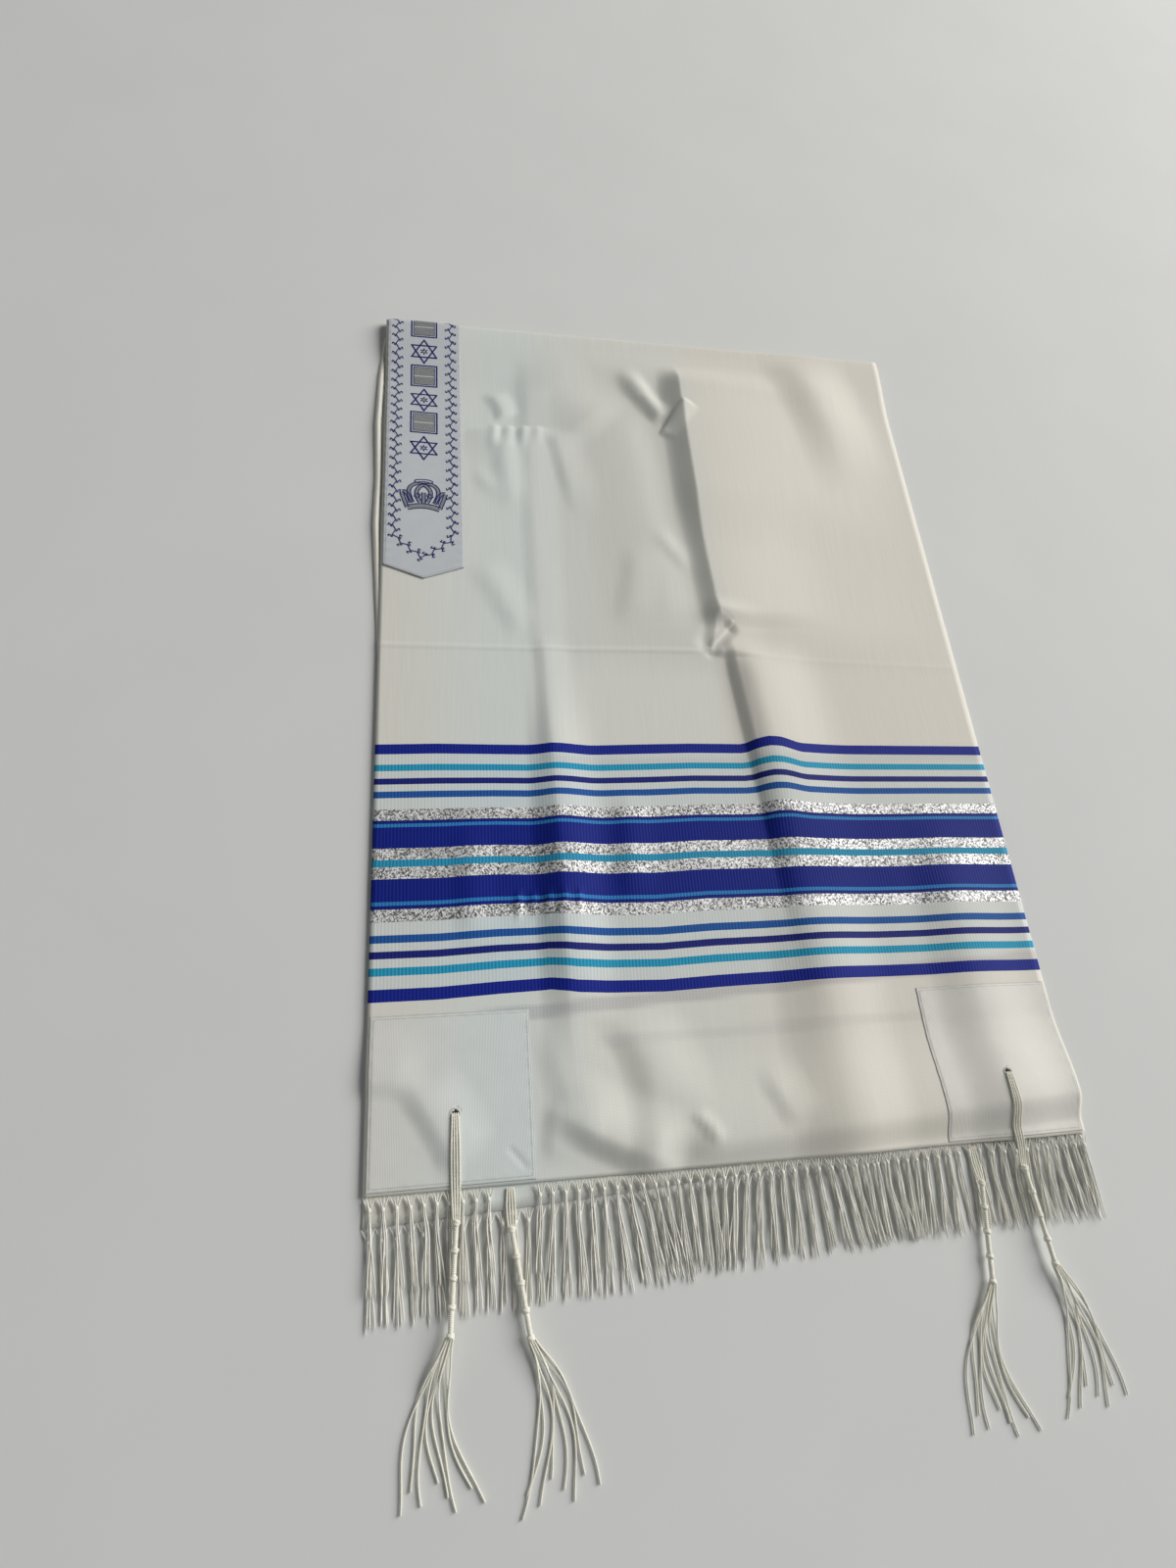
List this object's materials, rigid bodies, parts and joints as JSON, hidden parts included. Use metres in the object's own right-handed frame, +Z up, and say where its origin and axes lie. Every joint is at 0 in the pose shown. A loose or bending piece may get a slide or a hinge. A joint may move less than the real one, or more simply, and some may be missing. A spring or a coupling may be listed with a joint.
{
  "type": "tallit prayer shawl",
  "caption": "Striped tallit prayer shawl folded in half and laid flat, with a collar band, corner patches, fringed hems and knotted corner tassels.",
  "frame": {"origin": "on the surface the shawl lies on, under the middle of its box, tassels included", "axes": "+X across the cloth, from the neck edge with the collar band to the outer edge; +Y along it, from the hem and its tassels to the fold; +Z up"},
  "size_m": [0.6082, 1.1036, 0.0318],
  "materials": {
    "cloth": "off-white woven acrylic with blue, turquoise and silver stripes",
    "band_satin": "pale bluish satin with blue and silver woven ornament",
    "patch_cloth": "plain pale cloth with a faint sheen",
    "fringe_yarn": "matte off-white twisted yarn",
    "tassel_cord": "matte off-white twisted cord"
  },
  "bodies": {
    "root": {"upper_half": "cloth", "lower_half": "cloth", "atarah": "band_satin", "corner_patch_neck": "patch_cloth", "corner_patch_outer": "patch_cloth", "fringe_upper": "fringe_yarn", "fringe_lower": "fringe_yarn", "tzitzit_upper_neck": "tassel_cord", "tzitzit_upper_outer": "tassel_cord", "tzitzit_lower_neck": "tassel_cord", "tzitzit_lower_outer": "tassel_cord"}
  },
  "joints": []
}
